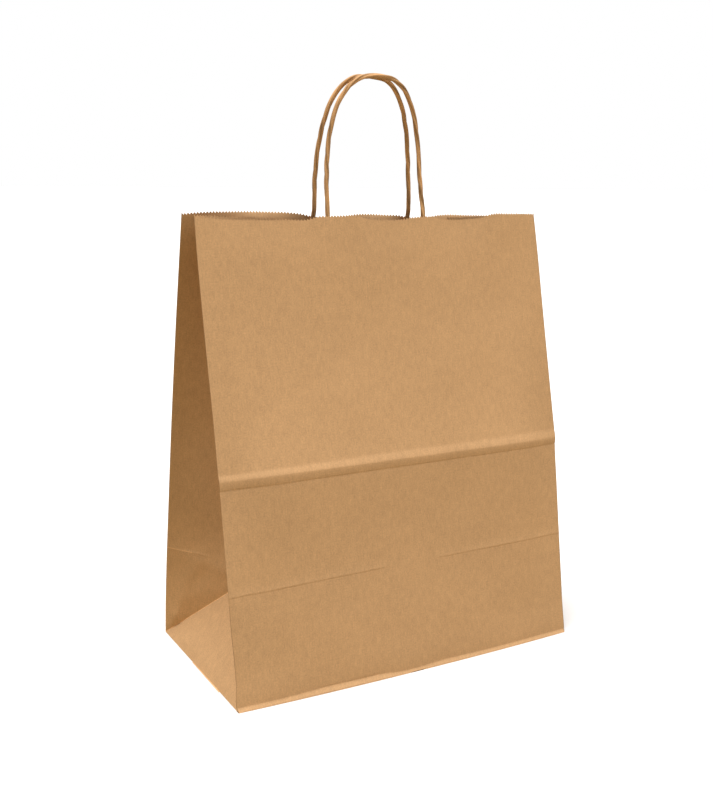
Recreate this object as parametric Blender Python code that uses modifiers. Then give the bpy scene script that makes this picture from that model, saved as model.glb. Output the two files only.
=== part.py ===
"""Paper carrier bag with two twisted paper handles, standing open on its folded base.

One sheet of brown kraft paper is folded and glued into the bag: a front panel, a back
panel, two side gussets that fold inward and a flat base. Each handle is a loop of twisted
paper cord, and its two ends are glued between two paper strips inside its panel.

Units are metres and +Z is up. The origin is the middle of the base, on the surface that
the bag stands on. +X runs along the wide front panel and -Y points to the front.
"""

import math

import bmesh
import bpy
from mathutils import Vector

# Overall size of the open bag
BAG_WIDTH = 0.320
BAG_DEPTH = 0.168
PANEL_HEIGHT = 0.3786
SHEET_THICKNESS = 0.0002

# How far the two panels still stand apart at the mouth, and how far back their middle lies
MOUTH_GAP = 0.0265
MOUTH_SETBACK = 0.0012

# The front panel's lowest fold, which flares out to the base edge
FOOT_STRIP = 0.0048
FOOT_SLOPE = math.radians(38)

# The raised ridge across the front panel: how far it bends the panel out, and its own roll
RIDGE_BEND = 0.0052
RIDGE_ROLL = 0.0011
RIDGE_SHOULDER = 0.0055
RIDGE_UNDERCUT = 0.0075

# Pinked top edge
TOOTH_PITCH = 0.0027
TOOTH_DEPTH = 0.0010
TEETH_PER_COLUMN = 6
TOOTH_BAND = 0.0040

# Twisted paper handles
CORD_DIAMETER = 0.0040
HANDLE_SPREAD = 0.0900
HANDLE_RISE = 0.1110
ARCH_FULLNESS_ACROSS = 2.7
ARCH_FULLNESS_UP = 2.8
CROWN_GAP = 0.0012
FRONT_HANDLE_OFFSET = -0.0010
BACK_HANDLE_OFFSET = -0.0028

# Paper strips that hold the handle ends inside the panels
PATCH_LENGTH = 0.190
PATCH_HEIGHT = 0.045
PATCH_DROP = 0.009
PATCH_THICKNESS = 0.0003
CORD_END_INSET = 0.006
PATCH_RUN_OUT = 0.0070

# Room between two pieces that are pressed or glued together
GLUE_GAP = 0.0003

# Values that follow from the sizes above
HALF_WIDTH = BAG_WIDTH / 2
HALF_DEPTH = BAG_DEPTH / 2
FOLD_HEIGHT = HALF_DEPTH + FOOT_STRIP
RIDGE_HEIGHT = 2 * FOLD_HEIGHT
CORD_RADIUS = CORD_DIAMETER / 2
FRONT_TOP_Y = MOUTH_SETBACK - MOUTH_GAP / 2
BACK_TOP_Y = MOUTH_SETBACK + MOUTH_GAP / 2
MEAN_LEAN = math.asin((HALF_DEPTH - MOUTH_GAP / 2) / PANEL_HEIGHT)
OUTER_PATCH_FACE = SHEET_THICKNESS + GLUE_GAP
INNER_PATCH_FACE = OUTER_PATCH_FACE + PATCH_THICKNESS + GLUE_GAP
CORD_LEVEL = INNER_PATCH_FACE + CORD_RADIUS

# Fineness: rings between two creases of the gussets, which curve there, the cord's
# roundness and points, and the columns of a strip that passes over the cords
LOWER_RINGS = 3
UPPER_RINGS = 5
CORD_ROUNDNESS = 2
CORD_STEP = 0.0065
PATCH_COLUMNS = 150
SAME_POINT = 1e-6

KRAFT_COLOUR = (0.54, 0.31, 0.13, 1.0)
CORD_COLOUR = (0.50, 0.27, 0.11, 1.0)
STRIP_COLOUR = (0.56, 0.33, 0.14, 1.0)


def clear_scene():
    """Remove every object that the new file starts with."""
    for found in list(bpy.data.objects):
        bpy.data.objects.remove(found)


def paper_material(name, colour, roughness):
    """A matt paper finish."""
    material = bpy.data.materials.new(name)
    material.use_nodes = True
    shader = material.node_tree.nodes["Principled BSDF"]
    shader.inputs["Base Color"].default_value = colour
    shader.inputs["Roughness"].default_value = roughness
    shader.inputs["Metallic"].default_value = 0.0
    return material


def add_object(name, data, collection, material):
    """Link a named object with its material."""
    made = bpy.data.objects.new(name, data)
    data.materials.append(material)
    collection.objects.link(made)
    return made


class Panel:
    """A leaning panel's line from the base edge to the mouth, seen from the bag's side.

    corners are (y, z) points. A place on the panel is named by its distance up the line.
    """

    def __init__(self, corners, inward):
        self.corners = [Vector(corner) for corner in corners]
        self.inward = inward

    def run(self, distance):
        """The straight run that holds this distance, and the distance where it starts."""
        start = 0.0
        for low, high in zip(self.corners, self.corners[1:]):
            length = (high - low).length
            if distance <= start + length or high is self.corners[-1]:
                return low, high, start
            start += length

    def point(self, distance, level=0.0):
        """(y, z) at a distance up the panel and a level in from its outer face."""
        low, high, start = self.run(distance)
        along = (high - low).normalized()
        normal = Vector((along.y, -along.x)) * self.inward
        return low + along * (distance - start) + normal * level


def front_panel():
    """Base edge, top of the foot strip, the ridge's crest and the mouth."""
    base = Vector((-HALF_DEPTH, 0.0))
    strip = base + FOOT_STRIP * Vector((math.cos(FOOT_SLOPE), math.sin(FOOT_SLOPE)))
    lower = RIDGE_HEIGHT - FOOT_STRIP
    upper = PANEL_HEIGHT - RIDGE_HEIGHT
    lower_chord = math.sqrt(lower**2 - RIDGE_BEND**2)
    chord = lower_chord + math.sqrt(upper**2 - RIDGE_BEND**2)
    run = FRONT_TOP_Y - strip.x
    top = Vector((FRONT_TOP_Y, strip.y + math.sqrt(chord**2 - run**2)))
    along = (top - strip).normalized()
    outward = Vector((-along.y, along.x))
    crest = strip + along * lower_chord + outward * RIDGE_BEND
    return Panel([base, strip, crest, top], inward=1)


def back_panel():
    """Base edge and mouth: the back panel is flat."""
    run = HALF_DEPTH - BACK_TOP_Y
    top = Vector((BACK_TOP_Y, math.sqrt(PANEL_HEIGHT**2 - run**2)))
    return Panel([Vector((HALF_DEPTH, 0.0)), top], inward=-1)


FRONT = front_panel()
BACK = back_panel()


def ridge_roll(distance):
    """How far the front panel's surface rolls out at this distance up the panel."""
    above = distance - RIDGE_HEIGHT
    if 0.0 <= above < RIDGE_SHOULDER:
        return RIDGE_ROLL * (1 - above / RIDGE_SHOULDER)
    if -RIDGE_UNDERCUT < above < 0.0:
        return RIDGE_ROLL * (1 + above / RIDGE_UNDERCUT)
    return 0.0


def front_point(distance):
    return FRONT.point(distance, -ridge_roll(distance))


def fold_in(half_gap):
    """(reach, drop) of a gusset's centre crease from the panel edges beside it.

    Each half of the gusset keeps its full width, half the bag's depth, square to the
    leaning edge that it hangs from, while it closes half of the gap between the panels.
    """
    across = half_gap / math.cos(MEAN_LEAN)
    return math.sqrt(HALF_DEPTH**2 - across**2), half_gap * math.tan(MEAN_LEAN)


def centre_crease(distance):
    """The centre crease at this distance up the panels, as (reach inward, y, z)."""
    front = front_point(distance)
    back = BACK.point(distance)
    reach, drop = fold_in((back.x - front.x) / 2)
    return reach, (front.x + back.x) / 2, (front.y + back.y) / 2 - drop


def gusset_points(distance):
    """The side's two crease points at this distance up, the front one first.

    Under the apex, which is half the bag's depth up, they run apart down the two slanting
    creases to the base corners. Above it they are one point on the centre crease.
    """
    if distance >= HALF_DEPTH:
        crease = centre_crease(distance)
        return crease, crease
    share = distance / HALF_DEPTH
    reach, y, z = (value * share for value in centre_crease(HALF_DEPTH))
    apart = HALF_DEPTH * (1 - share)
    return (reach, y - apart, z), (reach, y + apart, z)


def section(distance):
    """The sheet's outline at a distance up from the base, as eight points in order."""
    front = front_point(distance)
    back = BACK.point(distance)
    front_crease, back_crease = gusset_points(distance)
    right_side = [front_crease, back_crease]
    left_side = [back_crease, front_crease]
    outline = [Vector((-HALF_WIDTH, *front)), Vector((HALF_WIDTH, *front))]
    outline += [Vector((HALF_WIDTH - reach, y, z)) for reach, y, z in right_side]
    outline += [Vector((HALF_WIDTH, *back)), Vector((-HALF_WIDTH, *back))]
    outline += [Vector((reach - HALF_WIDTH, y, z)) for reach, y, z in left_side]
    return outline


def ring_distances():
    """Every distance up the panels where the sheet is creased or curves."""
    ridge_low = RIDGE_HEIGHT - RIDGE_UNDERCUT
    ridge_high = RIDGE_HEIGHT + RIDGE_SHOULDER
    band = PANEL_HEIGHT - TOOTH_BAND
    rings = [0.0, FOOT_STRIP, HALF_DEPTH, FOLD_HEIGHT]
    for step in range(1, LOWER_RINGS):
        rings.append(FOLD_HEIGHT + (ridge_low - FOLD_HEIGHT) * step / LOWER_RINGS)
    rings += [ridge_low, RIDGE_HEIGHT, ridge_high]
    for step in range(1, UPPER_RINGS):
        rings.append(ridge_high + (band - ridge_high) * step / UPPER_RINGS)
    return rings + [band]


def column_count(width):
    """How many equal columns of whole teeth a stretch of the rim takes."""
    return max(1, round(width / TOOTH_PITCH / TEETH_PER_COLUMN))


def distinct(points):
    """The outline without points that repeat the one before them."""
    return [p for i, p in enumerate(points) if (p - points[i - 1]).length > SAME_POINT]


def add_face(sheet, points):
    """A face through the points, unless they close up into a line."""
    loop = distinct(points)
    if len(loop) > 2:
        sheet.faces.new([sheet.verts.new(point) for point in loop])


def toothed_edge(rim_start, rim_end, down_start, down_end, columns):
    """The pinked edge between two points of the rim: every second point is cut down."""
    steps = 2 * TEETH_PER_COLUMN * columns
    points = []
    for step in range(steps + 1):
        place = rim_start.lerp(rim_end, step / steps)
        if step % 2:
            down = down_start.lerp(down_end, step / steps)
            place = place + down.normalized() * TOOTH_DEPTH
        points.append(place)
    return points


def add_pinked_panel(sheet, low, high):
    """One panel's strip between the band outline and the rim, column by column."""
    columns = column_count((high[1] - high[0]).length)
    down = [low[0] - high[0], low[1] - high[1]]
    edge = toothed_edge(high[0], high[1], down[0], down[1], columns)
    teeth = 2 * TEETH_PER_COLUMN
    for column in range(columns):
        left = low[0].lerp(low[1], column / columns)
        right = low[0].lerp(low[1], (column + 1) / columns)
        top = edge[column * teeth : (column + 1) * teeth + 1]
        add_face(sheet, [left, right, *top[::-1]])


def add_plain_panel(sheet, low, high, columns=1):
    """One panel between two outlines, with the points of the columns above it."""
    top = [high[1].lerp(high[0], step / columns) for step in range(columns + 1)]
    add_face(sheet, [*low, *top])


def panel_pairs(low, high):
    """The panels between two outlines, as the two points below and the two above."""
    for index in range(len(low)):
        after = (index + 1) % len(low)
        if (high[after] - high[index]).length > SAME_POINT:
            yield (low[index], low[after]), (high[index], high[after])
        elif (low[after] - low[index]).length > SAME_POINT:
            yield (low[index], low[after]), (high[index], high[index])


def bag_sheet():
    """The folded sheet as an open surface, its outside facing out."""
    sheet = bmesh.new()
    rings = [section(distance) for distance in ring_distances()]
    rim = section(PANEL_HEIGHT)
    for low_ring, high_ring in zip(rings[:-1], rings[1:-1]):
        for low, high in panel_pairs(low_ring, high_ring):
            add_plain_panel(sheet, low, high)
    for low, high in panel_pairs(rings[-2], rings[-1]):
        add_plain_panel(sheet, low, high, column_count((high[1] - high[0]).length))
    for low, high in panel_pairs(rings[-1], rim):
        add_pinked_panel(sheet, low, high)
    add_face(sheet, rings[0][::-1])
    bmesh.ops.remove_doubles(sheet, verts=sheet.verts, dist=SAME_POINT)
    bmesh.ops.triangulate(sheet, faces=sheet.faces)
    bmesh.ops.recalc_face_normals(sheet, faces=sheet.faces)
    mesh = bpy.data.meshes.new("bag_body")
    sheet.to_mesh(mesh)
    sheet.free()
    return mesh


def add_bag_body(collection):
    """The bag: the folded sheet given its paper thickness towards the inside."""
    material = paper_material("kraft_paper", KRAFT_COLOUR, 0.75)
    body = add_object("bag_body", bag_sheet(), collection, material)
    skin = body.modifiers.new("paper_thickness", "SOLIDIFY")
    skin.thickness = SHEET_THICKNESS
    skin.offset = -1.0
    skin.use_even_offset = True
    skin.use_quality_normals = True
    return body


def handle_route(panel, centre_x, crown_y):
    """A handle's centre line: up inside the patch, over the arch and down again.

    The arch is a superellipse above the mouth. Its plane starts beside the panel and
    curves over until the two crowns nearly meet.
    """
    top_y, top_z = panel.point(PANEL_HEIGHT, CORD_LEVEL)
    half_spread = HANDLE_SPREAD / 2
    tail = PATCH_DROP + PATCH_HEIGHT - CORD_END_INSET
    tail_steps = round(tail / CORD_STEP)
    route = []
    for step in range(tail_steps):
        y, z = panel.point(PANEL_HEIGHT - tail * (1 - step / tail_steps), CORD_LEVEL)
        route.append(Vector((centre_x - half_spread, y, z)))
    arch_steps = 2 * round(1.25 * HANDLE_RISE / CORD_STEP)
    for step in range(arch_steps + 1):
        turn = math.pi * step / arch_steps
        across = abs(math.cos(turn)) ** (2 / ARCH_FULLNESS_ACROSS)
        rise = math.sin(turn) ** (2 / ARCH_FULLNESS_UP)
        side = -1 if turn < math.pi / 2 else 1
        x = centre_x + side * half_spread * across
        y = top_y + (crown_y - top_y) * rise**2
        route.append(Vector((x, y, top_z + HANDLE_RISE * rise)))
    mirrored = [Vector((2 * centre_x - p.x, p.y, p.z)) for p in route[:tail_steps]]
    return route + mirrored[::-1]


def evenly_spaced(route, step):
    """The same line with its points about one step apart."""
    lengths = [0.0]
    for start, end in zip(route, route[1:]):
        lengths.append(lengths[-1] + (end - start).length)
    count = round(lengths[-1] / step)
    points = []
    index = 0
    for number in range(count + 1):
        wanted = lengths[-1] * number / count
        while index < len(route) - 2 and lengths[index + 1] < wanted:
            index += 1
        share = (wanted - lengths[index]) / (lengths[index + 1] - lengths[index])
        points.append(route[index].lerp(route[index + 1], share))
    return points


def add_handle(name, panel, centre_x, crown_y, collection):
    """A loop of twisted paper cord as a round tube with closed ends."""
    route = evenly_spaced(handle_route(panel, centre_x, crown_y), CORD_STEP)
    curve = bpy.data.curves.new(name, "CURVE")
    curve.dimensions = "3D"
    curve.bevel_depth = CORD_RADIUS
    curve.bevel_resolution = CORD_ROUNDNESS
    curve.use_fill_caps = True
    spline = curve.splines.new("POLY")
    spline.points.add(len(route) - 1)
    for point, place in zip(spline.points, route):
        point.co = (*place, 1.0)
    material = paper_material(name + "_paper", CORD_COLOUR, 0.8)
    return add_object(name, curve, collection, material)


def cord_bulge(x, centre_x):
    """How far the inner strip stands off at x to pass over the two cord ends."""
    height = CORD_DIAMETER + GLUE_GAP
    reach = CORD_RADIUS + PATCH_RUN_OUT
    away = abs(abs(x - centre_x) - HANDLE_SPREAD / 2)
    if away >= reach:
        return 0.0
    return height * math.cos(math.pi / 2 * away / reach) ** 2


def add_patch(name, panel, centre_x, over_cords, collection):
    """A paper strip along the inside of a panel, flat or laid over the cord ends."""
    face = INNER_PATCH_FACE if over_cords else OUTER_PATCH_FACE
    columns = PATCH_COLUMNS if over_cords else 1
    strip = bmesh.new()
    bmesh.ops.create_grid(strip, x_segments=columns, y_segments=1, size=0.5)
    for vert in strip.verts:
        x = centre_x + vert.co.x * PATCH_LENGTH
        distance = PANEL_HEIGHT - PATCH_DROP - PATCH_HEIGHT * (0.5 - vert.co.y)
        level = face + (cord_bulge(x, centre_x) if over_cords else 0.0)
        vert.co = Vector((x, *panel.point(distance, level)))
    if panel.inward > 0:
        bmesh.ops.reverse_faces(strip, faces=strip.faces)
    mesh = bpy.data.meshes.new(name)
    strip.to_mesh(mesh)
    strip.free()
    material = paper_material(name + "_paper", STRIP_COLOUR, 0.8)
    patch = add_object(name, mesh, collection, material)
    skin = patch.modifiers.new("paper_thickness", "SOLIDIFY")
    skin.thickness = PATCH_THICKNESS
    skin.offset = 1.0
    skin.use_even_offset = True
    return patch


def add_handle_set(side, panel, centre_x, crown_y, collection):
    """One panel's handle and the two strips that hold its ends."""
    add_patch(side + "_outer_patch", panel, centre_x, False, collection)
    add_handle(side + "_handle", panel, centre_x, crown_y, collection)
    add_patch(side + "_inner_patch", panel, centre_x, True, collection)


def main():
    clear_scene()
    collection = bpy.data.collections.new("paper_carrier_bag")
    bpy.context.scene.collection.children.link(collection)
    add_bag_body(collection)
    crown_reach = (CORD_DIAMETER + CROWN_GAP) / 2
    front_crown = MOUTH_SETBACK - crown_reach
    back_crown = MOUTH_SETBACK + crown_reach
    add_handle_set("front", FRONT, FRONT_HANDLE_OFFSET, front_crown, collection)
    add_handle_set("back", BACK, BACK_HANDLE_OFFSET, back_crown, collection)


main()
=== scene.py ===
"""Looks of the paper carrier bag: kraft sheet, twisted cords, glued strips, light and camera.

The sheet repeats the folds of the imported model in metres, and adds what paper does: a
rolled ridge, soft creases, a bowed foot strip, wavy pinked edges and small dents.
"""

import math

import bmesh
import bpy
import numpy as np
from mathutils import Matrix, Vector, noise


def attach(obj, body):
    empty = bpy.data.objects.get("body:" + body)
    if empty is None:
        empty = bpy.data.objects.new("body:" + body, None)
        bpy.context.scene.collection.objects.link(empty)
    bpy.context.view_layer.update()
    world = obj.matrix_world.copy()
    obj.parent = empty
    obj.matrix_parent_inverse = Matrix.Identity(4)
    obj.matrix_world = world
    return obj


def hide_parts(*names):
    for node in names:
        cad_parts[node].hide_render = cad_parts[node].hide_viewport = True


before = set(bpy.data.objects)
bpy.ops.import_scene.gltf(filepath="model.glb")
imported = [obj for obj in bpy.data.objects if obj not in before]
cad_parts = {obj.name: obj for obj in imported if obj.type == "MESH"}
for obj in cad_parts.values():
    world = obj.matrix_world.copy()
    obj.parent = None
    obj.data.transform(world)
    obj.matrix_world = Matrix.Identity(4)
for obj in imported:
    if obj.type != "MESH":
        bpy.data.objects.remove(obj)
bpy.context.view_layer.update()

MM = 0.001

# The folded bag, as it was packed
HALF_WIDTH = 0.160
HALF_DEPTH = 0.084
HEIGHT = 0.3786
THICKNESS = 0.00022
FOOT_STRIP = 0.0045
FOOT_SLOPE = math.radians(51)
RIDGE_HEIGHT = 0.1776
RIDGE_BEND = 0.0052
MOUTH_Y = 0.0012
HALF_MOUTH = 0.01325
MEAN_LEAN = math.asin((HALF_DEPTH - HALF_MOUTH) / HEIGHT)

# The back rim curls outwards over its last stretch
RIM_FLARE = 4.2 * MM
FLARE_REACH = 9 * MM
FLARE_POWER = 1.4

# How far below the rim its wavy edge still pulls the paper up or down
RIM_PULL = 0.030

# Pinked rim. A tooth's dip on the flat sheet is a share of the rim's band.
TEETH = 118
GUSSET_TEETH = 2
TOOTH_DEPTH = 0.0015
TOOTH_MARK = 0.22
RIM_BAND = 0.0040
TOOTHLESS_WIDTH = 0.001

# The faint crease half as high as the ridge. The panel is pressed in along it.
LOW_CREASE = 0.0905
LOW_CREASE_DROP = 2.3 * MM
CREASE_GAP = (-0.032, 0.024)
LOW_PRESS = 0.9 * MM
PRESS_REACH = 0.081
PRESS_EASE = 0.02

# How far the middle of the ridge stands out beyond its ends, and how soon that ends above it
RIDGE_SWELL = 4.6 * MM
SWELL_FADE = 0.055

# The rolled ridge: height of the paper at places up the panel, in millimetres, and the
# places of its foot, peak and top
RIDGE_ROLL = (
    (168.5, 0.0), (171.7, -0.10), (172.0, 0.14), (173.5, 0.36), (174.8, 0.50), (176.0, 0.59),
    (177.1, 0.64), (178.0, 0.65), (179.0, 0.61), (180.2, 0.49), (181.4, 0.35), (182.6, 0.20),
    (183.5, 0.09), (184.5, 0.02), (185.5, 0.0),
)
RIDGE_GROWTH = 1.27
ROLL_FOOT, ROLL_PEAK, ROLL_TOP = 172, 178, 184

# Rows of the front panel that follow the ridge and the faint crease, in metres, and how far
# down and up their neighbours move with them
FOOT_ROW, PEAK_ROW, TOP_ROW = 0.172, 0.178, 0.184
RIDGE_REACH = (0.160, 0.196)
CREASE_ROW = 0.091
CREASE_REACH = (0.066, 0.116)

# Bow of the base edge, and how far up the panel it reaches
FOOT_BOW = 3.6 * MM
BOW_REACH = 0.085

# Where the cord's legs press the front panel out below the rim
FRONT_LEGS = (-0.0470, 0.0430)
LEG_SWELL = 0.30 * MM

# The glued seam above the foot strip, which shows in dashes, and the one up the back panel
DASH_DEPTH = 0.22 * MM
DASH_ENDS = (-0.094, -0.026)
BACK_SEAM = 0.118
SEAM_LIFT = 0.14 * MM

# A gusset's paper: its bulge, long and short waves, the swelling and the hollow low on it,
# the curl at its foot, and the crease across it with its height at the long edge and its
# rise to the middle
BULGE = 0.9 * MM
LONG_WAVE = 0.45 * MM
SHORT_WAVE = 0.55 * MM
LOW_SWELLING = 1.6 * MM
LOW_HOLLOW = 1.8 * MM
FOOT_CURL = 1.1 * MM
PINCH = 0.30 * MM
PINCH_HEIGHT = 0.0850
PINCH_RISE = 0.012

# Twisted paper cord
CORD_RADIUS = 0.0020
CORD_LAY = 0.070
CORD_STRANDS = 3
CORD_GROOVE = 0.42
CORD_SIDES = 30
CORD_STEP = 0.0009

# Strips that hold the cords, and how far inside the panel each layer lies
STRIP_LENGTH = 0.190
STRIP_HEIGHT = 0.045
STRIP_DROP = 0.009
STRIP_THICKNESS = 0.00025
STRIP_FACE = 0.0005
INNER_FACE = 0.0011
CORD_LEVEL = 0.0031
STRIP_RUN_OUT = 0.0070
STRIP_PLAY = 0.0004
STRIP_COLUMNS = 191
STRIP_ROWS = 16

# The cord's glued ends: where they start below the rim, and how far above the strip's lower
# edge they stop
END_START = 0.002
END_SHORT = 0.006
END_POINTS = 16

# How much lower and wider the base lies where its flaps overlap, where they do, and how far
# the base stops short of the sides
FLAP_DROP = 0.00015
FLAP_OVER = 0.0001
FLAP_DEPTHS = (-0.045, 0.015)
BASE_INSET = 0.0004
BASE_ROWS = 15

GUSSET_COLUMNS = 16
LOW_COLUMNS = 14

# Where each part's places on the flat sheet start, so that no two share their grain
BACK_SHEET, BASE_SHEET, FLAP_SHEET, STRIP_SHEET = 1.0, 2.0, 2.5, 3.0

# Colours, lights and the photograph's view
KRAFT = (0.600, 0.361, 0.180)
STRIP_KRAFT = (0.62, 0.37, 0.18)
CORD_KRAFT = (0.53, 0.300, 0.135)
FLOOR_TONE = 0.80
FLOOR_BOUNCE = (0.36, 0.30, 0.19)
FLOOR_SIZE = 60
WORLD_LIGHT = 0.145
WORLD_TINT = (1.0, 0.82, 0.55, 1)
OVERHEAD_FROM = (-0.14, 0.02, 1.0)
OVERHEAD_LIGHT = 4.9
OVERHEAD_ANGLE = 36
FRONT_FROM = (0.65, -1.0, 0.35)
FRONT_LIGHT = 1.14
FRONT_ANGLE = 60
CAMERA_PLACE = (-0.4378, -0.7674, 0.3974)
CAMERA_YAW, CAMERA_PITCH, CAMERA_ROLL = 0.5061, 0.2018, 0.0095
SENSOR_WIDTH = 36
FOCAL_PIXELS = 1045.5
PICTURE_HEIGHT = 794


def eased(value):
    """0 to 1 without a corner at either end."""
    value = np.clip(value, 0.0, 1.0)
    return value * value * (3 - 2 * value)


def through(value, knots):
    """A smooth line through (place, height) knots given in millimetres."""
    places = np.array([k[0] for k in knots]) * MM
    heights = np.array([k[1] for k in knots]) * MM
    slopes = np.gradient(heights, places)
    after = np.clip(np.searchsorted(places, value), 1, len(knots) - 1)
    before = after - 1
    run = places[after] - places[before]
    t = np.clip((value - places[before]) / run, 0, 1)
    bend = t * (1 - t) * ((1 - t) * slopes[before] - t * slopes[after]) * run
    share = eased(t)
    return heights[before] * (1 - share) + heights[after] * share + bend


def bell(distance, width):
    """1 in the middle, and close to 0 at twice this width."""
    return np.exp(-((distance / width) ** 2))


def hump(x, d, centre_x, centre_d, size_x, size_d):
    """A round bump of height 1 around one place on a panel."""
    return np.exp(-(((x - centre_x) / size_x) ** 2) - ((d - centre_d) / size_d) ** 2)


def dented(x, d, dents):
    """The dents of a table, added up."""
    total = 0.0
    for height, *place in dents:
        total = total + height * hump(x, d, *place)
    return total


def rough(a, b, size, seed):
    """Smooth noise of about -1 to 1 whose bumps are this size."""
    a, b = np.broadcast_arrays(a, b)
    pairs = zip(a.ravel() / size, b.ravel() / size)
    return np.array([noise.noise((p, q, seed)) for p, q in pairs]).reshape(a.shape) * 1.6


def rough_along(a, size, seed):
    """The same noise along one line."""
    return rough(a, a * 0, size, seed)


def front_corners():
    """(y, z) of the base edge, the foot strip's top, the ridge and the rim."""
    base = np.array([-HALF_DEPTH, 0.0])
    strip = base + FOOT_STRIP * np.array([math.cos(FOOT_SLOPE), math.sin(FOOT_SLOPE)])
    lower = math.sqrt((RIDGE_HEIGHT - FOOT_STRIP) ** 2 - RIDGE_BEND**2)
    chord = lower + math.sqrt((HEIGHT - RIDGE_HEIGHT) ** 2 - RIDGE_BEND**2)
    run = MOUTH_Y - HALF_MOUTH - strip[0]
    along = np.array([run, math.sqrt(chord**2 - run**2)]) / chord
    crest = strip + along * lower + np.array([-along[1], along[0]]) * RIDGE_BEND
    return np.array([base, strip, crest, strip + along * chord])


def back_corners():
    """(y, z) of the back panel's base edge and rim."""
    top_y = MOUTH_Y + HALF_MOUTH
    rise = math.sqrt(HEIGHT**2 - (HALF_DEPTH - top_y) ** 2)
    return np.array([[HALF_DEPTH, 0.0], [top_y, rise]])


class Line:
    """A panel's (y, z) line from base to mouth, with its normal out of the bag."""

    def __init__(self, corners, out):
        self.corners = corners
        runs = np.diff(corners, axis=0)
        self.lengths = np.hypot(runs[:, 0], runs[:, 1])
        self.stops = np.concatenate([[0.0], np.cumsum(self.lengths)])
        self.alongs = runs / self.lengths[:, None]
        self.out = out

    def place(self, d):
        """The place this far up the panel, and the normal there."""
        index = np.clip(np.searchsorted(self.stops, d, side="right") - 1, 0, len(self.lengths) - 1)
        along = self.alongs[index]
        spot = self.corners[index] + along * (d - self.stops[index])[..., None]
        normal = np.stack([-along[..., 1], along[..., 0]], axis=-1) * self.out
        return spot, normal


FRONT = Line(front_corners(), 1)
BACK = Line(back_corners(), -1)


# What the open bag's paper does, in millimetres along the panels, unless said otherwise

# Height of the cut edge above or below the straight rim, front and back
FRONT_RIM = (
    (-160, 2.0), (-153, 1.0), (-143, -0.4), (-130, -1.3), (-115, -1.6), (-102, -1.8),
    (-82, -1.8), (-66, -2.0), (-56, 0.2), (-40, 0.8), (-24, 0.8), (-9, -1.9), (5, -2.7),
    (22, -2.6), (34, -0.9), (50, -0.5), (62, -2.4), (92, -2.5), (102, -1.7), (114, 1.4),
    (130, 1.7), (145, 1.5), (160, 1.2),
)
BACK_RIM = (
    (-160, 1.2), (-150, 1.9), (-140, 2.4), (-120, 2.6), (-84, 2.2), (-68, 1.6), (-56, 0.4),
    (-44, -2.2), (-16, -2.0), (-5, -0.4), (10, -0.2), (26, -1.0), (38, -1.4), (48, -3.4),
    (66, -3.6), (76, -1.8), (110, -1.6), (130, -2.2), (160, -2.4),
)
# How strongly the back rim curls outwards, in thousandths
RIM_CURL = (
    (-160, 0), (-140, 300), (-122, 600), (-105, 1000), (-80, 1000), (-62, 600), (-40, 350),
    (-8, 900), (25, 950), (47, 400), (72, 850), (108, 900), (140, 300), (160, 0),
)
# How far the fold edges stand off the straight line, by height up the panel
FRONT_LEFT_EDGE = (
    (0, 1.0), (5, 0.2), (22, 1.2), (48, 0.9), (62, 0.5), (97, 0.3), (163, -0.2), (184, -0.5),
    (205, -0.3), (300, -0.7), (345, -0.6), (379, -0.1),
)
FRONT_RIGHT_EDGE = (
    (0, -0.9), (5, -0.2), (20, 0.0), (45, 0.3), (110, 0.8), (140, 1.1), (168, 1.3), (184, 2.0),
    (205, 1.9), (245, 1.6), (300, 1.3), (350, 1.1), (379, 0.3),
)
BACK_BOW = (
    (0, 0.4), (20, 2.4), (60, 4.6), (120, 5.6), (200, 6.2), (250, 5.6), (300, 4.4),
    (340, 2.9), (379, 1.2),
)
# How tall the foot strip is along the base edge, against its mean
STRIP_GROWTH = (
    (-160, -0.9), (-119, -0.8), (-92, 0.0), (-58, -0.1), (-45, -0.2), (-29, -0.4),
    (-26, -0.8), (34, -0.7), (60, -1.1), (99, -1.4), (134, -1.2), (160, -1.6),
)
# Dents (minus) and swellings: height, place across and up, size across and up, in metres
FRONT_DENTS = (
    (-1.1 * MM, -0.045, 0.285, 0.070, 0.050), (-0.7 * MM, 0.130, 0.315, 0.036, 0.040),
    (0.7 * MM, 0.060, 0.225, 0.060, 0.050), (-0.5 * MM, -0.110, 0.105, 0.045, 0.045),
    (0.4 * MM, -0.020, 0.065, 0.080, 0.050),
)
BACK_DENTS = (
    (0.9 * MM, 0.05, 0.16, 0.08, 0.06), (-0.6 * MM, -0.06, 0.27, 0.07, 0.05),
)


def front_shift(x, d):
    """Sideways move of the front panel that puts its two long edges where they lie."""
    share = np.clip((x + HALF_WIDTH) / (2 * HALF_WIDTH), 0, 1)
    return through(d, FRONT_LEFT_EDGE) * (1 - share) + through(d, FRONT_RIGHT_EDGE) * share


def ridge_lines(x):
    """Where the ridge's foot, peak and top lie up the panel at this x."""
    across = (x + HALF_WIDTH) / (2 * HALF_WIDTH)
    foot = (171.8 + 1.3 * across) * MM + 0.15 * MM * rough_along(x, 0.03, 2.2)
    peak = (178.1 - 0.2 * across) * MM + 0.25 * MM * rough_along(x, 0.03, 8.4)
    top = (182.9 + 2.2 * across) * MM + 0.5 * MM * rough_along(x, 0.04, 3.1)
    return foot, peak, top


def tent(d, low, middle, high):
    """1 at the middle and 0 from low down and from high up."""
    return np.clip(np.minimum((d - low) / (middle - low), (high - d) / (high - middle)), 0, 1)


def low_line(x):
    """The height of the faint crease, which runs down towards the left edge."""
    return LOW_CREASE - LOW_CREASE_DROP * np.clip((-x - 0.020) / 0.140, 0, 1) ** 1.5


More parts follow.
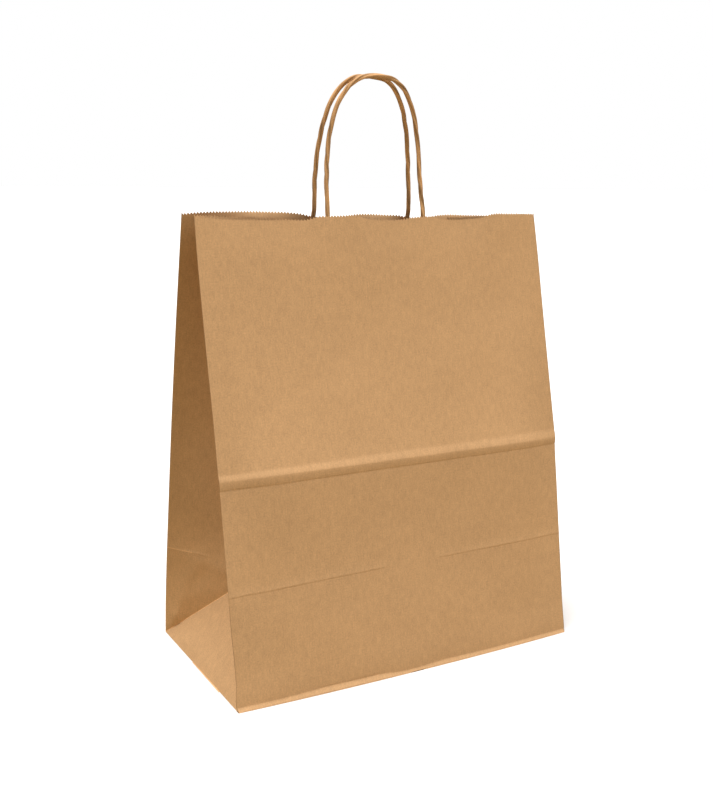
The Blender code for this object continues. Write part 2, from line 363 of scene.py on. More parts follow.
def with_ridge(x, d):
    """Moves the rows near the ridge and the faint crease so that they follow their lines."""
    foot, peak, top = ridge_lines(x)
    d = (d + (foot - FOOT_ROW) * tent(d, RIDGE_REACH[0], FOOT_ROW, PEAK_ROW)
         + (peak - PEAK_ROW) * tent(d, FOOT_ROW, PEAK_ROW, TOP_ROW)
         + (top - TOP_ROW) * tent(d, PEAK_ROW, TOP_ROW, RIDGE_REACH[1]))
    return d + (low_line(x) - CREASE_ROW) * tent(d, CREASE_REACH[0], CREASE_ROW, CREASE_REACH[1])


def ridge(x, d):
    """The rolled imprint of the folded base: a lit shoulder, a shaded belly, a sharp foot."""
    foot, peak, top = ridge_lines(x)
    low = ROLL_FOOT + (d - foot) / (peak - foot) * (ROLL_PEAK - ROLL_FOOT)
    high = ROLL_PEAK + (d - peak) / (top - peak) * (ROLL_TOP - ROLL_PEAK)
    place = np.where(d > peak, high, low)
    places, heights = zip(*RIDGE_ROLL)
    growth = RIDGE_GROWTH + 0.10 * rough_along(x, 0.05, 5.7)
    return np.interp(place, places, heights) * MM * growth


def low_crease(x, d):
    """The faint crease half as high as the ridge, with a gap in its middle."""
    left = 1 - eased((x - CREASE_GAP[0]) / (18 * MM))
    right = eased((x - CREASE_GAP[1]) / (14 * MM)) * 0.9
    strength = (left + right) * (0.9 + 0.3 * rough_along(x, 0.025, 1.7))
    above = d - low_line(x)
    swell = 0.21 * MM * bell(above - 1.3 * MM, 1.6 * MM)
    groove = 0.17 * MM * bell(above, 0.5 * MM)
    return strength * (swell - groove)


def border_fade(x, reach):
    """0 on the panel's long edges and 1 further in than this."""
    return eased((HALF_WIDTH - abs(x)) / reach)


def front_lift(x, d):
    """How far the front panel's surface stands out of its straight line."""
    lift = ridge(x, d) + low_crease(x, d)
    away = np.sqrt(((d - CREASE_ROW) / PRESS_REACH) ** 2 + PRESS_EASE)
    lift = lift - LOW_PRESS * np.clip(1.0 - away, 0, 1) * border_fade(x, 0.012)
    fading = np.exp(-np.maximum(d - PEAK_ROW, 0) / SWELL_FADE)
    swell = np.where(d < PEAK_ROW, d / PEAK_ROW, fading)
    lift = lift + RIDGE_SWELL * swell * border_fade(x, 0.042)
    dents = dented(x, d, FRONT_DENTS)
    dents += 0.20 * MM * rough(x, d, 0.055, 12.3) + 0.055 * MM * rough(x, d, 0.016, 4.9)
    lift = lift + dents * border_fade(x, 0.030) * eased(d / 0.02)
    for leg in FRONT_LEGS:
        lift = lift + LEG_SWELL * hump(x, d, leg, HEIGHT - 0.020, 0.006, 0.022)
    seam = DASH_DEPTH * bell(d - FOOT_STRIP - 0.9 * MM, 0.5 * MM)
    dashes = eased((x - DASH_ENDS[0]) / 0.01) * eased((DASH_ENDS[1] - x) / 0.006)
    return lift - seam * dashes * np.clip(0.6 + rough_along(x, 0.006, 9.9), 0, 1)


def foot_bow(x, d):
    """The base edge's bow towards the front, which dies out up the panel."""
    across = 1 - np.clip(abs(x) / HALF_WIDTH, 0, 1) ** 2.2
    return FOOT_BOW * across * bell(d, BOW_REACH)


def rim_rise(d, rim):
    """The wavy cut edge pulls the rows just under it up or down."""
    return rim * eased((d - HEIGHT + RIM_PULL) / RIM_PULL)


def front_point(x, d, inside=0.0):
    """Places on the front panel, or this far inside it."""
    x, d = np.broadcast_arrays(np.asarray(x, float), np.asarray(d, float))
    spot, normal = FRONT.place(d)
    lift = front_lift(x, d) - inside
    y = spot[..., 0] + normal[..., 0] * lift - foot_bow(x, d)
    z = spot[..., 1] + normal[..., 1] * lift
    growth = through(x, STRIP_GROWTH) * np.clip(d / FOOT_STRIP, 0, 1)
    growth = growth * (1 - eased((d - FOOT_STRIP) / 0.030))
    y = y + growth * math.cos(FOOT_SLOPE)
    z = z + growth * math.sin(FOOT_SLOPE)
    z = z + rim_rise(d, through(x, FRONT_RIM))
    return np.stack([x + front_shift(x, d), y, z], axis=-1)


def back_point(x, d, inside=0.0):
    """Places on the back panel, or this far inside it."""
    x, d = np.broadcast_arrays(np.asarray(x, float), np.asarray(d, float))
    spot, normal = BACK.place(d)
    lift = dented(x, d, BACK_DENTS)
    lift = lift + 0.16 * MM * rough(x, d, 0.060, 22.3) + 0.04 * MM * rough(x, d, 0.018, 2.9)
    lift = lift * border_fade(x, 0.030) * eased(d / 0.02)
    seam = eased((x - BACK_SEAM + 0.4 * MM) / (0.8 * MM))
    lift = lift + SEAM_LIFT * seam * (x < 0.1575)
    lift = lift - inside
    near_rim = np.clip((d - HEIGHT + FLARE_REACH) / FLARE_REACH, 0, 1)
    flare = RIM_FLARE * near_rim**FLARE_POWER * through(x, RIM_CURL)
    y = spot[..., 0] + normal[..., 0] * lift + through(d, BACK_BOW) + flare
    z = spot[..., 1] + normal[..., 1] * lift
    z = z + rim_rise(d, through(x, BACK_RIM))
    return np.stack([x + 0 * d, y, z], axis=-1)


def centre_crease(d, side):
    """The fold down the middle of a gusset, from the straight panel lines."""
    front, _ = FRONT.place(d)
    back, _ = BACK.place(d)
    half_gap = (back[..., 0] - front[..., 0]) / 2
    reach = np.sqrt(HALF_DEPTH**2 - (half_gap / math.cos(MEAN_LEAN)) ** 2)
    drop = half_gap * math.tan(MEAN_LEAN)
    y = (front[..., 0] + back[..., 0]) / 2 + 0.5 * through(d, BACK_BOW)
    z = (front[..., 1] + back[..., 1]) / 2 - drop
    sway = 0.5 * MM * rough_along(d, 0.07, 31.0 + side)
    return np.stack([side * (HALF_WIDTH - reach), y + sway, z], axis=-1)


def gusset_creases(d, side):
    """The front and the back crease of a gusset, which meet at and above its apex."""
    d = np.asarray(d, float)
    apex = centre_crease(np.array(HALF_DEPTH), side)
    share = np.clip(d / HALF_DEPTH, 0, 1)[..., None]
    above = centre_crease(np.maximum(d, HALF_DEPTH), side)
    high = (d >= HALF_DEPTH)[..., None]
    front_foot = front_point(side * HALF_WIDTH, 0.0)
    back_foot = back_point(side * HALF_WIDTH, 0.0)
    front = np.where(high, above, front_foot * (1 - share) + apex * share)
    back = np.where(high, above, back_foot * (1 - share) + apex * share)
    return front, back


def gusset_half(edge, crease, share, d, side, seed):
    """A half gusset between a long edge and its crease, softly bulged and wrinkled."""
    share, d = np.broadcast_arrays(share, d)
    spot = edge + (crease - edge) * share[..., None]
    width = np.linalg.norm(crease - edge, axis=-1)
    loose = np.clip(width / HALF_DEPTH, 0, 1) * np.sin(math.pi * share)
    low = 1 - eased((d - 0.060) / 0.080)
    wave = LONG_WAVE * rough(share * HALF_DEPTH, d, 0.050, seed)
    short_wave = rough(share * HALF_DEPTH * 1.6, d * 0.8, 0.021, seed + 4)
    wave = wave + low * SHORT_WAVE * short_wave
    pinch_line = PINCH_HEIGHT + PINCH_RISE * share + 0.6 * MM * rough_along(share, 0.2, seed)
    pinch = PINCH * bell(d - pinch_line, 0.8 * MM) * (1 - eased((share - 0.30) / 0.3))
    curl = FOOT_CURL * hump(share * width, d, 0.013, 0.020, 0.006, 0.009)
    sag = LOW_SWELLING * bell(d - 0.020, 0.030)
    sag = sag - LOW_HOLLOW * bell(d - 0.090, 0.036)
    bulge = loose * (wave + sag + BULGE) + (pinch + curl) * np.clip(share / 0.06, 0, 1)
    turn = np.cross(crease - edge, np.array([0, 0, 1.0]))
    turn = turn / np.maximum(np.linalg.norm(turn, axis=-1, keepdims=True), 1e-9)
    outward = turn * np.sign(turn[..., :1] * side + 1e-12)
    return spot + outward * bulge[..., None]


def spaced(start, end, step):
    """Even places from start up to, but without, end, about this step apart."""
    count = max(1, round((end - start) / step))
    return list(np.linspace(start, end, count + 1)[:-1])


def row_distances():
    """Rows up the panels: fine where the paper is creased, wide where it is flat."""
    stretches = (
        (0.0, 4.8, 1.2), (4.8, 8.0, 0.55), (8.0, 84.0, 4.4), (84.0, 88.5, 2.2),
        (88.5, 93.5, 0.5), (93.5, 166.0, 4.6), (166.0, 171.0, 1.0), (171.0, 171.7, 0.7),
    )
    rows = []
    for start, end, step in stretches:
        rows += spaced(start, end, step)
    rows += [171.7, 172.0, 172.5, 173.5, 174.8, 176.0, 177.1, 177.7, 178.0, 178.35, 179.0]
    rows += [180.2, 181.4, 182.6, 183.5, 184.0, 184.5, 185.5]
    return np.array(rows + spaced(187.5, 374.6, 4.8) + [374.6]) * MM


def fold_shares(count):
    """Even shares from 0 to 1, with one more close to each end to round the fold."""
    return np.array([0.0, 0.0055] + list(np.linspace(0, 1, count + 1)[1:-1]) + [0.9945, 1.0])


ROWS = row_distances()
ACROSS = np.concatenate([
    [-HALF_WIDTH, -HALF_WIDTH + 0.5 * MM],
    np.linspace(-HALF_WIDTH, HALF_WIDTH, TEETH + 1)[1:-1],
    [HALF_WIDTH - 0.5 * MM, HALF_WIDTH],
])
SHARES = fold_shares(GUSSET_COLUMNS)
LOW_SHARES = fold_shares(LOW_COLUMNS)


class Sheet:
    """Collects grids of places into one mesh; make_bag welds the bag's grids where they meet."""

    def __init__(self):
        self.mesh = bmesh.new()
        self.spread = self.mesh.loops.layers.uv.new("sheet")

    def grid(self, places, spots, flip=False):
        """Quads between rows of places. spots are the same places on the flat sheet."""
        verts = [[self.mesh.verts.new(p) for p in row] for row in places]
        for r in range(len(verts) - 1):
            for c in range(len(verts[0]) - 1):
                keys = [(r, c), (r, c + 1), (r + 1, c + 1), (r + 1, c)]
                self.face([verts[i][j] for i, j in keys], [spots[i][j] for i, j in keys], flip)

    def face(self, verts, spots, flip=False):
        """One face, with its corners' places on the flat sheet."""
        if flip:
            verts, spots = verts[::-1], spots[::-1]
        face = self.mesh.faces.new(verts)
        face.smooth = True
        for loop, spot in zip(face.loops, spots):
            loop[self.spread].uv = spot

    def teeth(self, low, cut, count, spots, flip=False):
        """The top band, whose cut edge dips between teeth in every wide enough column."""
        down = (low - cut).mean(axis=0)
        down = down / np.linalg.norm(down) * TOOTH_DEPTH
        low_verts = [self.mesh.verts.new(p) for p in low]
        cut_verts = [self.mesh.verts.new(p) for p in cut]
        for c in range(len(low) - 1):
            (u0, v0), (u1, _) = spots[c], spots[c + 1]
            verts = [low_verts[c], low_verts[c + 1], cut_verts[c + 1]]
            places = [(u0, v0), (u1, v0), (u1, v0 + RIM_BAND)]
            wide = np.linalg.norm(low[c + 1] - low[c]) > TOOTHLESS_WIDTH
            for step in range(2 * count - 1, 0, -1) if wide else ():
                share = step / (2 * count)
                dip = down if step % 2 else 0 * down
                spot = cut[c] + (cut[c + 1] - cut[c]) * share + dip
                verts.append(self.mesh.verts.new(spot))
                mark = v0 + RIM_BAND * (1 - TOOTH_MARK * (step % 2))
                places.append((u0 + (u1 - u0) * share, mark))
            self.face(verts + [cut_verts[c]], places + [(u0, v0 + RIM_BAND)], flip)


def marks(across, up):
    """A grid's places on the flat sheet."""
    return [[(a, b) for a in across] for b in up]


def add_panel(sheet, point, rows_at, offset, flip):
    """A panel's grid and its pinked rim. rows_at moves the rows to where they lie at x."""
    rows = rows_at(*np.meshgrid(ACROSS, ROWS))
    sheet.grid(point(ACROSS[None, :], rows), marks(ACROSS + offset, ROWS), flip)
    low = point(ACROSS, np.full(len(ACROSS), ROWS[-1]))
    cut = point(ACROSS, np.full(len(ACROSS), HEIGHT))
    sheet.teeth(low, cut, 1, [(a + offset, ROWS[-1]) for a in ACROSS], flip)


def gusset_marks(side, half):
    """Where a half gusset's places lie on the flat sheet."""
    spots = []
    for d in ROWS:
        widths = SHARES * min(d, HALF_DEPTH)
        across = 2 * HALF_DEPTH - widths if half else widths
        spots.append([(side * (HALF_WIDTH + a), d) for a in across])
    return spots


def add_gusset(sheet, side):
    """One side: two halves that fold inwards along a centre crease, and a low triangle."""
    edges = (
        (front_point, with_ridge(np.full(len(ROWS), side * HALF_WIDTH), ROWS), 0),
        (back_point, ROWS, 1),
    )
    for point, rows, half in edges:
        flip = (side > 0) == (half == 1)
        seed = 40.0 + 7 * half + 3 * side
        spots = gusset_marks(side, half)
        edge = point(side * HALF_WIDTH, rows)
        crease = gusset_creases(ROWS, side)[half]
        places = gusset_half(edge[:, None], crease[:, None], SHARES[None, :], ROWS[:, None],
                             side, seed)
        sheet.grid(places, spots, flip)
        rim_edge = point(side * HALF_WIDTH, HEIGHT)
        rim_crease = gusset_creases(np.array([HEIGHT]), side)[half]
        cut = gusset_half(rim_edge[None, None], rim_crease[:, None], SHARES[None, :],
                          np.array([[HEIGHT]]), side, seed)[0]
        sheet.teeth(places[-1], cut, GUSSET_TEETH, spots[-1], flip)
    low_rows = ROWS[ROWS <= HALF_DEPTH + 1e-9]
    front, back = gusset_creases(low_rows, side)
    places = front[:, None] + (back - front)[:, None] * LOW_SHARES[None, :, None]
    width = np.linalg.norm(back - front, axis=-1)[:, None] / (2 * HALF_DEPTH)
    puff = 0.8 * MM * width * np.sin(math.pi * LOW_SHARES)[None, :]
    puff = puff * (1 + 0.5 * rough(LOW_SHARES[None, :], low_rows[:, None] * 6, 0.3, 60.0 + side))
    rise = eased(low_rows / 0.010)[:, None]
    places[..., 0] += side * puff * rise
    spots = [[(side * (HALF_WIDTH + d + 2 * s * (HALF_DEPTH - d)), d) for s in LOW_SHARES]
             for d in low_rows]
    sheet.grid(places, spots, side < 0)


def add_base(sheet):
    """The folded base, and the layer of it that lies lowest where its flaps overlap."""
    shares = np.linspace(0, 1, BASE_ROWS)
    front = front_point(ACROSS, 0.0)[None]
    back = back_point(ACROSS, 0.0)[None]
    places = front + (back - front) * shares[:, None, None]
    places[..., 0] *= 1 - BASE_INSET / HALF_WIDTH
    up = [-HALF_DEPTH + 2 * HALF_DEPTH * s for s in shares]
    sheet.grid(places, marks(ACROSS + BASE_SHEET, up), True)
    across = np.linspace(-HALF_WIDTH - FLAP_OVER, HALF_WIDTH + FLAP_OVER, 41)
    up = np.linspace(*FLAP_DEPTHS, 8)
    low = np.array([[(a, b, -FLAP_DROP) for a in across] for b in up])
    sheet.grid(low, marks(across + FLAP_SHEET, up), True)


def add_material(mesh_object, material):
    """Gives a piece its material and ties it to the bag's one body."""
    mesh_object.data.materials.append(material)
    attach(mesh_object, "root")


def new_object(name, mesh):
    """An object made of this mesh."""
    data = bpy.data.meshes.new(name)
    mesh.to_mesh(data)
    mesh.free()
    piece = bpy.data.objects.new(name, data)
    bpy.context.scene.collection.objects.link(piece)
    return piece


def thicken(sheet, thickness):
    """Gives a sheet its thickness on the inner side, with crisp cut edges."""
    mesh, layer = sheet.mesh, sheet.spread
    mesh.normal_update()
    mesh.verts.index_update()
    outer = list(mesh.faces)
    rim = [edge for edge in mesh.edges if edge.is_boundary]
    inner = [mesh.verts.new(v.co - v.normal * thickness) for v in list(mesh.verts)]
    mesh.verts.ensure_lookup_table()
    for face in outer:
        spots = [loop[layer].uv.copy() for loop in face.loops]
        sheet.face([inner[v.index] for v in face.verts], spots, True)
    for edge in rim:
        loop = edge.link_loops[0]
        a, b = loop.vert, loop.link_loop_next.vert
        spot = loop[layer].uv.copy()
        ends = (b.co, a.co, inner[a.index].co, inner[b.index].co)
        sheet.face([mesh.verts.new(co) for co in ends], [spot] * 4)


def make_bag(material):
    """The folded sheet: two panels, two gussets and the base, welded where they meet."""
    sheet = Sheet()
    add_panel(sheet, front_point, with_ridge, 0.0, False)
    add_panel(sheet, back_point, lambda x, d: d, BACK_SHEET, True)
    for side in (-1, 1):
        add_gusset(sheet, side)
    add_base(sheet)
    bmesh.ops.remove_doubles(sheet.mesh, verts=sheet.mesh.verts, dist=0.00002)
    bmesh.ops.translate(sheet.mesh, verts=sheet.mesh.verts, vec=(0, 0, FLAP_DROP))
    thicken(sheet, THICKNESS)
    bag = new_object("bag", sheet.mesh)
    add_material(bag, material)
    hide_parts("bag_body")


# Handles

class Loop:
    """One handle's centre line: two glued ends inside a panel and a squarish arch.

    across and up say how square the arch is. lean gives its y by the height above the rim,
    tilt moves it sideways with the height, and feet are the steps of the left and right leg.
    """

    def __init__(self, point, centre, half_spread, rise, across, up, lean, tilt, feet):
        self.point = point
        self.centre = centre
        self.half_spread = half_spread
        self.rise = rise
        self.across = across
        self.up = up
        self.lean = lean
        self.tilt = tilt
        self.feet = feet
        self.top = float(BACK.place(np.array(HEIGHT))[0][1])

    def leg(self, side):
        """Where this leg enters the panel."""
        return self.centre + side * self.half_spread + self.foot(side)

    def foot(self, side):
        """How far this leg steps sideways where it enters the panel."""
        return self.feet[0 if side < 0 else 1]

    def path(self):
        """The centre line from one glued end over the arch to the other."""
        tail = STRIP_DROP + STRIP_HEIGHT - END_SHORT
        points = []
        for side in (-1, 1):
            down = np.linspace(END_START, tail, END_POINTS)
            leg = np.full(END_POINTS, self.leg(side))
            run = self.point(leg, HEIGHT - down, inside=CORD_LEVEL)
            run[:, 0] = self.leg(side)
            points.append(run[::side])
        arch = []
        for turn in np.linspace(0, math.pi, 200)[1:-1]:
            high = math.sin(turn) ** (2 / self.up) * self.rise
            over = -math.copysign(abs(math.cos(turn)) ** (2 / self.across), math.cos(turn))
            x = self.centre + self.half_spread * over + self.tilt * high
            x += self.foot(over) * math.exp(-((high / 0.020) ** 2))
            arch.append((x, self.lean(high), self.top + high))
        route = np.concatenate([points[0], arch, points[1]])
        return resampled(route, CORD_STEP)


def resampled(route, step):
    """The same line with even steps and its small corners smoothed."""
    for _ in range(2):
        lengths = np.linalg.norm(np.diff(route, axis=0), axis=1)
        along = np.concatenate([[0], np.cumsum(lengths)])
        even = np.linspace(0, along[-1], max(2, int(along[-1] / step)))
        route = np.stack([np.interp(even, along, route[:, k]) for k in range(3)], axis=1)
        for _ in range(6):
            route[1:-1] = route[1:-1] / 2 + (route[:-2] + route[2:]) / 4
    return route


def make_cord(name, loop, seed, material, node):
    """A twisted cord along the loop. Its grooves wind slowly round it."""
    route = loop.path()
    tangent = np.gradient(route, axis=0)
    tangent /= np.linalg.norm(tangent, axis=1, keepdims=True)
    depth = np.array([0.0, 1.0, 0.0]) - tangent * tangent[:, 1:2]
    depth /= np.linalg.norm(depth, axis=1, keepdims=True)
    across = np.cross(tangent, depth)
    steps = np.concatenate([[0], np.cumsum(np.linalg.norm(np.diff(route, axis=0), axis=1))])
    mesh = bmesh.new()
    spread = mesh.loops.layers.uv.new("sheet")
    rings = []
    angles = np.arange(CORD_SIDES) / CORD_SIDES * 2 * math.pi
    drift = 0.8 * rough_along(steps, 0.03, seed)
    for i, spot in enumerate(route):
        turned = angles - 2 * math.pi * steps[i] / CORD_LAY - drift[i] + seed
        groove = 1 - np.abs(np.cos(turned * CORD_STRANDS / 2)) ** 0.7
        fine = rough(np.cos(turned) * 0.5, np.sin(turned) * 0.5 + steps[i] * 9, 0.16, seed)
        radius = CORD_RADIUS * (1.02 - CORD_GROOVE * groove + 0.035 * fine)
        offsets = np.cos(angles)[:, None] * across[i] + np.sin(angles)[:, None] * depth[i]
        rings.append([mesh.verts.new(p) for p in spot + offsets * radius[:, None]])
    for i in range(len(rings) - 1):
        for k in range(CORD_SIDES):
            n = (k + 1) % CORD_SIDES
            face = mesh.faces.new([rings[i][k], rings[i][n], rings[i + 1][n], rings[i + 1][k]])
            face.smooth = True
            shift = steps[i] / CORD_LAY
            lift = steps[i + 1] / CORD_LAY
            left = k / CORD_SIDES
            right = left + 1 / CORD_SIDES
            places = ((left - shift, i), (right - shift, i),
                      (right - lift, i + 1), (left - lift, i + 1))
            for corner, (u, row) in zip(face.loops, places):
                corner[spread].uv = (u, steps[row])
    for ring, backwards in ((rings[0], True), (rings[-1], False)):
        mesh.faces.new(ring[::-1] if backwards else ring)
    bmesh.ops.recalc_face_normals(mesh, faces=mesh.faces)
    cord = new_object(name, mesh)
    add_material(cord, material)
    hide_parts(node)


def make_strip(name, loop, level, over_cord, material, node):
    """A glued paper strip inside a panel, flat or bulged over the cord's two ends."""
    centre = (loop.leg(-1) + loop.leg(1)) / 2
    across = centre + np.linspace(-STRIP_LENGTH / 2, STRIP_LENGTH / 2, STRIP_COLUMNS)
    up = HEIGHT - STRIP_DROP - np.linspace(STRIP_HEIGHT, 0, STRIP_ROWS)
    inside = np.full(across.shape, level)
    if over_cord:
        away = np.abs(np.abs(across - centre) - loop.half_spread)
        share = np.clip(away / (CORD_RADIUS + STRIP_RUN_OUT), 0, 1)
        inside = inside + (2 * CORD_RADIUS + STRIP_PLAY) * np.cos(math.pi / 2 * share) ** 2
    sheet = Sheet()
    places = loop.point(across[None, :], up[:, None], inside=inside[None, :])
    sheet.grid(places, marks(across + STRIP_SHEET, up), loop.point is back_point)
    bmesh.ops.translate(sheet.mesh, verts=sheet.mesh.verts, vec=(0, 0, FLAP_DROP))
    thicken(sheet, STRIP_THICKNESS)
    strip = new_object(name, sheet.mesh)
    add_material(strip, material)
    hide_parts(node)


# Materials

class Nodes:
    """Short calls for building a procedural material."""

    def __init__(self, name):
        self.material = bpy.data.materials.new(name)
        self.material.use_nodes = True
        self.tree = self.material.node_tree
        self.shader = self.tree.nodes["Principled BSDF"]

    def add(self, kind, **inputs):
        """A new node with these inputs, each a value or another node's output."""
        node = self.tree.nodes.new(kind)
        for key, value in inputs.items():
            target = node.inputs[key.replace("_", " ")]
            if hasattr(value, "links"):
                self.tree.links.new(value, target)
            else:
                target.default_value = value
        return node

    def link(self, output, target):
        self.tree.links.new(output, target)

    def noise(self, source, scale, size, detail=2.0, rough=0.5):
        """Procedural noise at these places, stretched by scale."""
        mapping = self.add("ShaderNodeMapping", Vector=source)
        mapping.inputs["Scale"].default_value = scale
        node = self.add("ShaderNodeTexNoise", Vector=mapping.outputs["Vector"], Scale=size,
                        Detail=detail)
        node.inputs["Roughness"].default_value = rough
        return node.outputs["Fac"]

    def math(self, kind, a, b=0.0, c=0.0):
        """The output of a math node on values or outputs."""
        node = self.tree.nodes.new("ShaderNodeMath")
        node.operation = kind
        for socket, value in zip(node.inputs, (a, b, c)):
            if hasattr(value, "links"):
                self.link(value, socket)
            else:
                socket.default_value = value
        return node.outputs[0]

    def sway(self, terms):
        """1 plus each noise's departure from its middle times its weight."""
        total = 1.0
        for value, weight in terms:
            total = self.math("MULTIPLY_ADD", self.math("SUBTRACT", value, 0.5), weight, total)
        return total

    def near(self, distance, width):
        """1 on a line, falling to 0 at this distance from it."""
        away = self.math("DIVIDE", distance, width)
        return self.math("MAXIMUM", self.math("SUBTRACT", 1.0, away), 0.0)

    def finished(self, color, level, roughness, specular):
        """Sets the colour times level and the sheen, and returns the material."""
        mix = self.add("ShaderNodeVectorMath")
        mix.operation = "SCALE"
        mix.inputs[0].default_value = color
        self.link(level, mix.inputs["Scale"])
        self.link(mix.outputs[0], self.shader.inputs["Base Color"])
        self.shader.inputs["Roughness"].default_value = roughness
        self.shader.inputs["Specular IOR Level"].default_value = specular
        return self.material


def painted_fold_light(nodes, where):
    """Painted light and shade on the creased sheet: painted shade along the front panel's long
    edges low down, painted highlights along the low triangle's two folds, painted bounce light
    low on the back half of each gusset (by the same sum also on the back panel and the base),
    painted contact shade along the front base edge and a painted highlight along the crease
    across the gusset.

    across and up are places on the flat sheet, and beyond is how far across a place lies
    past the panel's long edge.
    """
    parts = nodes.add("ShaderNodeSeparateXYZ", Vector=where)
    across = nodes.math("ABSOLUTE", parts.outputs["X"])
    up = parts.outputs["Y"]
    beyond = nodes.math("SUBTRACT", across, HALF_WIDTH)
    low = nodes.math("LESS_THAN", up, HALF_DEPTH + 0.002)
    front_fold = nodes.math("SUBTRACT", beyond, up)
    back_fold = nodes.math("SUBTRACT", nodes.math("ADD", beyond, up), 2 * HALF_DEPTH)
    total = 1.0
    # Painted shade along the front panel's long edges low down, and painted highlights along the
    # low triangle's front and back folds
    for distance, weight, width in (
        (beyond, -0.26, 0.0009), (front_fold, 0.10, 0.0007), (back_fold, 0.55, 0.0012),
    ):
        line = nodes.math("MULTIPLY", nodes.near(nodes.math("ABSOLUTE", distance), width), low)
        total = nodes.math("MULTIPLY_ADD", line, weight, total)
    # Painted bounce light: lighter towards the floor on the back half of each gusset, and by the
    # same sum on the back panel and the base
    back_half = nodes.math("GREATER_THAN", nodes.math("ADD", beyond, up), 2 * HALF_DEPTH)
    back_half = nodes.math("MULTIPLY", back_half, nodes.math("GREATER_THAN", beyond, HALF_DEPTH))
    painted_bounce_light = nodes.math("MULTIPLY", nodes.near(up, 0.120), back_half)
    total = nodes.math("MULTIPLY_ADD", painted_bounce_light, 0.28, total)
    # Painted contact shade: the front panel darker within a millimetre of its base edge
    on_panel = nodes.math("LESS_THAN", across, HALF_WIDTH - 0.004)
    edge = nodes.math("MULTIPLY", nodes.near(up, 0.0010), on_panel)
    total = nodes.math("MULTIPLY_ADD", edge, -0.60, total)
    # Painted highlight along the crease across the back half of each gusset
    slope = 0.143
    back_edge = 0.328
    pinch = nodes.math("MULTIPLY_ADD", across, -slope, PINCH_HEIGHT + slope * back_edge)
    away = nodes.math("ABSOLUTE", nodes.math("SUBTRACT", up, pinch))
    outer = nodes.math("GREATER_THAN", across, 0.302)
    line = nodes.math("MULTIPLY", nodes.near(away, 0.0008), outer)
    return nodes.math("MULTIPLY_ADD", line, 0.35, total)


def paper(name, color, streaks=1.0, paint_fold_light=False):
    """Kraft paper: fine mottling, faint fibre streaks and specks, and a soft grain, and where
    asked, painted highlights, shade and bounce light along its folds and low down.
    """
    nodes = Nodes(name)
    where = nodes.add("ShaderNodeUVMap").outputs["UV"]
    flat = (1, 1, 1)
    cloud = nodes.noise(where, flat, 16.0, 3.0)
    mottle = nodes.noise(where, (1, 0.55, 1), 240.0, 3.0, 0.6)
    fine = nodes.noise(where, flat, 800.0, 2.0, 0.6)
    fibre = nodes.noise(where, (1, 0.10, 1), 1300.0, 2.0, 0.6)
    patch = nodes.noise(where, flat, 80.0, 2.0)
    level = nodes.sway((
        (cloud, 0.18), (patch, 0.08), (mottle, 0.24), (fine, 0.50), (fibre, 0.30 * streaks),
    ))
    # Painted highlights, shade and bounce light along the folds and low on the sheet scale the
    # colour
    if paint_fold_light:
        level = nodes.math("MULTIPLY", level, painted_fold_light(nodes, where))
    height = nodes.math("MULTIPLY_ADD", mottle, 0.6, nodes.math("MULTIPLY", fine, 0.4))
    bump = nodes.add("ShaderNodeBump", Strength=0.22, Distance=0.0002, Height=height)
    nodes.link(bump.outputs["Normal"], nodes.shader.inputs["Normal"])
    return nodes.finished(color, level, 0.82, 0.25)


def cord_paper(name, color):
    """Twisted paper: narrow lighter and darker bands that wind round the cord."""
    nodes = Nodes(name)
    where = nodes.add("ShaderNodeUVMap").outputs["UV"]
    bands = nodes.noise(where, (5, 12, 1), 1.0, 3.0, 0.65)
    patches = nodes.noise(where, (2, 60, 1), 1.0, 2.0)
    grain = nodes.noise(where, (40, 700, 1), 1.0, 2.0)
    level = nodes.sway(((bands, 2.6), (patches, 1.1), (grain, 0.40)))
    bump = nodes.add("ShaderNodeBump", Strength=0.5, Distance=0.0003, Height=bands)
    nodes.link(bump.outputs["Normal"], nodes.shader.inputs["Normal"])
    return nodes.finished(color, level, 0.75, 0.3)


def floor_paint():
    """Pale floor that the camera sees as white, and that bounces light as pale grey."""
    nodes = Nodes("floor")
    path = nodes.add("ShaderNodeLightPath")
    mix = nodes.add("ShaderNodeCombineColor")
    for socket, bounce in zip(mix.inputs[:3], FLOOR_BOUNCE):
        share = path.outputs["Is Camera Ray"]
        nodes.link(nodes.math("MULTIPLY_ADD", share, FLOOR_TONE - bounce, bounce), socket)
    nodes.link(mix.outputs[0], nodes.shader.inputs["Base Color"])
    nodes.shader.inputs["Roughness"].default_value = 0.9
    nodes.shader.inputs["Specular IOR Level"].default_value = 0.0
    return nodes.material


# Stage

def make_floor():
    """A wide plain floor, which isn't part of the bag."""
    mesh = bmesh.new()
    bmesh.ops.create_grid(mesh, x_segments=1, y_segments=1, size=FLOOR_SIZE)
    floor = new_object("floor", mesh)
    floor.data.materials.append(floor_paint())


def add_sun(name, source, strength, angle):
    """A soft distant light that shines from this direction."""
    lamp = bpy.data.lights.new(name, "SUN")
    lamp.energy = strength
    lamp.angle = math.radians(angle)
    holder = bpy.data.objects.new(name, lamp)
    holder.rotation_euler = Vector(source).to_track_quat("Z", "Y").to_euler()
    bpy.context.scene.collection.objects.link(holder)


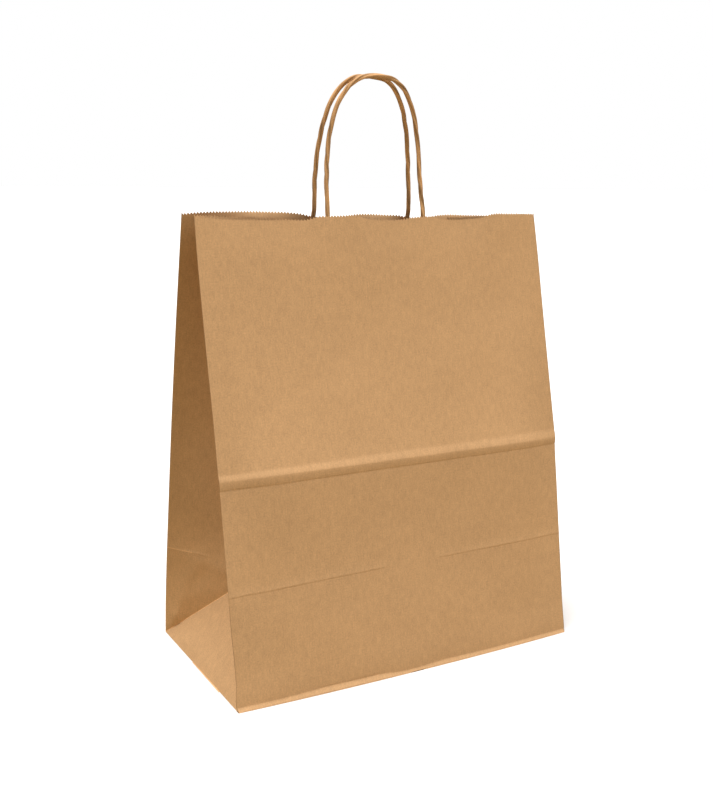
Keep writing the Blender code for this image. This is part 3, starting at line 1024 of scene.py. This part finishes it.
def light_scene():
    """A weak warm world that the camera sees as white, and two soft suns."""
    world = bpy.data.worlds.new("studio")
    bpy.context.scene.world = world
    world.use_nodes = True
    tree = world.node_tree
    back = tree.nodes["Background"]
    path = tree.nodes.new("ShaderNodeLightPath")
    tone = tree.nodes.new("ShaderNodeMath")
    tone.operation = "MULTIPLY_ADD"
    tree.links.new(path.outputs["Is Camera Ray"], tone.inputs[0])
    tone.inputs[1].default_value = 1.0 - WORLD_LIGHT
    tone.inputs[2].default_value = WORLD_LIGHT
    tree.links.new(tone.outputs[0], back.inputs["Strength"])
    tint = tree.nodes.new("ShaderNodeMix")
    tint.data_type = "RGBA"
    tree.links.new(path.outputs["Is Camera Ray"], tint.inputs[0])
    tint.inputs[6].default_value = WORLD_TINT
    tint.inputs[7].default_value = (1, 1, 1, 1)
    tree.links.new(tint.outputs[2], back.inputs["Color"])
    add_sun("overhead", OVERHEAD_FROM, OVERHEAD_LIGHT, OVERHEAD_ANGLE)
    add_sun("front_fill", FRONT_FROM, FRONT_LIGHT, FRONT_ANGLE)


def add_camera():
    """The photograph's view, as it was fitted to the bag's corners."""
    flat = math.cos(CAMERA_PITCH)
    look = Vector((math.sin(CAMERA_YAW) * flat, math.cos(CAMERA_YAW) * flat,
                   -math.sin(CAMERA_PITCH)))
    right = Vector((math.cos(CAMERA_YAW), -math.sin(CAMERA_YAW), 0))
    up = right.cross(look)
    side = right * math.cos(CAMERA_ROLL) + up * math.sin(CAMERA_ROLL)
    top = -right * math.sin(CAMERA_ROLL) + up * math.cos(CAMERA_ROLL)
    data = bpy.data.cameras.new("camera")
    data.sensor_width = SENSOR_WIDTH
    data.lens = FOCAL_PIXELS * SENSOR_WIDTH / PICTURE_HEIGHT
    data.clip_start = 0.05
    data.clip_end = 200
    camera = bpy.data.objects.new("camera", data)
    turn = Matrix((side, top, -look)).transposed().to_4x4()
    camera.matrix_world = Matrix.Translation(CAMERA_PLACE) @ turn
    bpy.context.scene.collection.objects.link(camera)
    bpy.context.scene.camera = camera


# The bag's kraft carries painted highlights and shade along its folds and base edge, and painted
# bounce light low down
kraft = paper("kraft", KRAFT, paint_fold_light=True)
strip_paper = paper("strip", STRIP_KRAFT, streaks=0.6)
cord_kraft = cord_paper("cord", CORD_KRAFT)

make_bag(kraft)
front_loop = Loop(
    front_point, centre=-0.0009, half_spread=0.0444, rise=0.1105, across=2.62, up=3.15,
    lean=lambda z: -0.0090 + 0.214 * z - 1.5 * z * z, tilt=0.03, feet=(-0.0002, 0.0016),
)
back_loop = Loop(
    back_point, centre=-0.0028, half_spread=0.0451, rise=0.1101, across=2.90, up=2.49,
    lean=lambda z: 0.0114 - 0.82 * z * z, tilt=0.0, feet=(0.0005, 0.0012),
)
make_cord("front_cord", front_loop, 1.3, cord_kraft, "front_handle")
make_cord("back_cord", back_loop, 4.1, cord_kraft, "back_handle")
for place, loop in (("front", front_loop), ("back", back_loop)):
    for layer, level, over in (("outer", STRIP_FACE, False), ("inner", INNER_FACE, True)):
        make_strip(f"{place}_{layer}_strip", loop, level, over, strip_paper,
                   f"{place}_{layer}_patch")

make_floor()
light_scene()
add_camera()
scene = bpy.context.scene
scene.view_settings.view_transform = "Standard"

bpy.context.view_layer.update()
